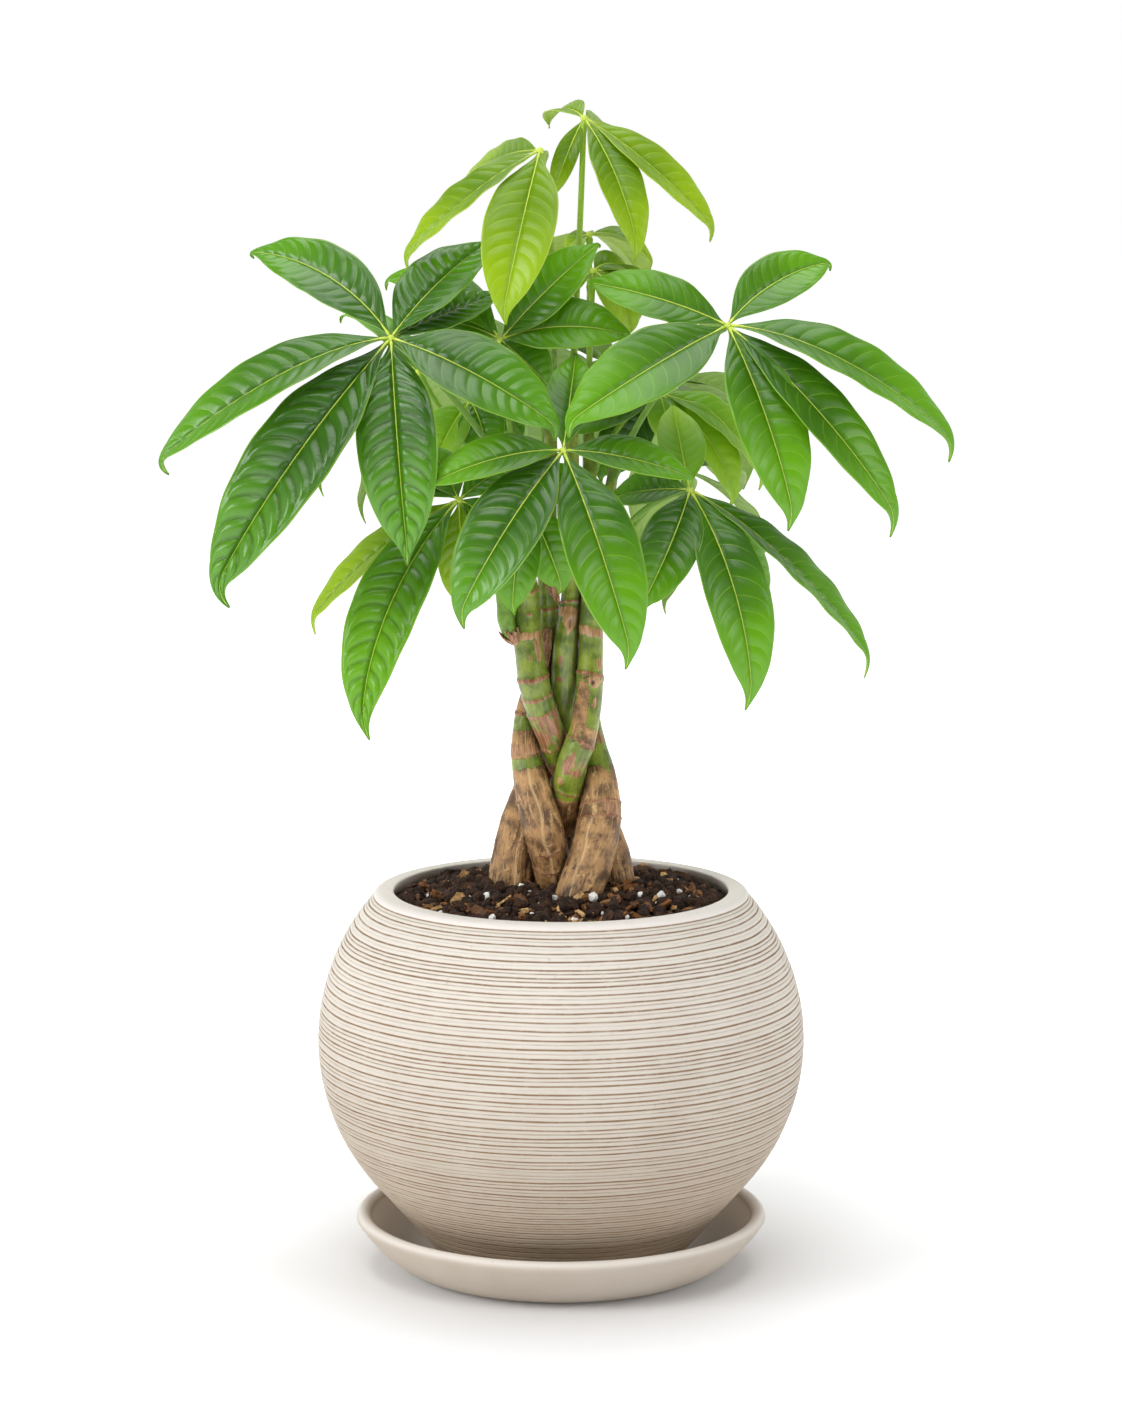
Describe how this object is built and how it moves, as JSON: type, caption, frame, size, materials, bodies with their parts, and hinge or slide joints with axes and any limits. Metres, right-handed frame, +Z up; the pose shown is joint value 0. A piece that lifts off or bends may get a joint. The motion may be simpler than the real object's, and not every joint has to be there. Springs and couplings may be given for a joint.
{
  "type": "potted money tree",
  "caption": "House plant with plaited trunks and long-stalked hand-shaped leaves, standing in soil in a ribbed globe pot on a saucer.",
  "frame": {"origin": "centre of the saucer's flat underside", "axes": "+Z up, +X to the viewer's right, +Y away from the viewer"},
  "size_m": [0.3711, 0.2632, 0.5734],
  "materials": {
    "saucer_stoneware": "matt cream stoneware, smooth",
    "pot_stoneware": "matt cream stoneware with turned grooves that hold a brown shade",
    "potting_soil": "moist peat with bark chips and white perlite",
    "bark": "brown fissured bark below, green with pinkish rings above",
    "leaf": "glossy, deep green, quilted between the veins",
    "young_leaf": "satin, yellow-green"
  },
  "bodies": {
    "root": {"leaf_back": "leaf", "leaf_back_right": "leaf", "leaf_behind_left": "leaf", "leaf_behind_right": "leaf", "leaf_front": "leaf", "leaf_high_middle": "leaf", "leaf_left": "leaf", "leaf_low_front": "leaf", "leaf_low_left": "leaf", "leaf_low_right": "leaf", "leaf_middle_left": "leaf", "leaf_middle_right": "leaf", "leaf_right": "leaf", "leaf_top": "young_leaf", "leaf_top_left": "young_leaf", "leaf_young_top": "young_leaf", "leaf_young_upper": "young_leaf", "pot": "pot_stoneware", "saucer": "saucer_stoneware", "soil": "potting_soil", "stem_1": "bark", "stem_2": "bark", "stem_3": "bark", "stem_4": "bark", "stem_5": "bark"}
  },
  "joints": []
}
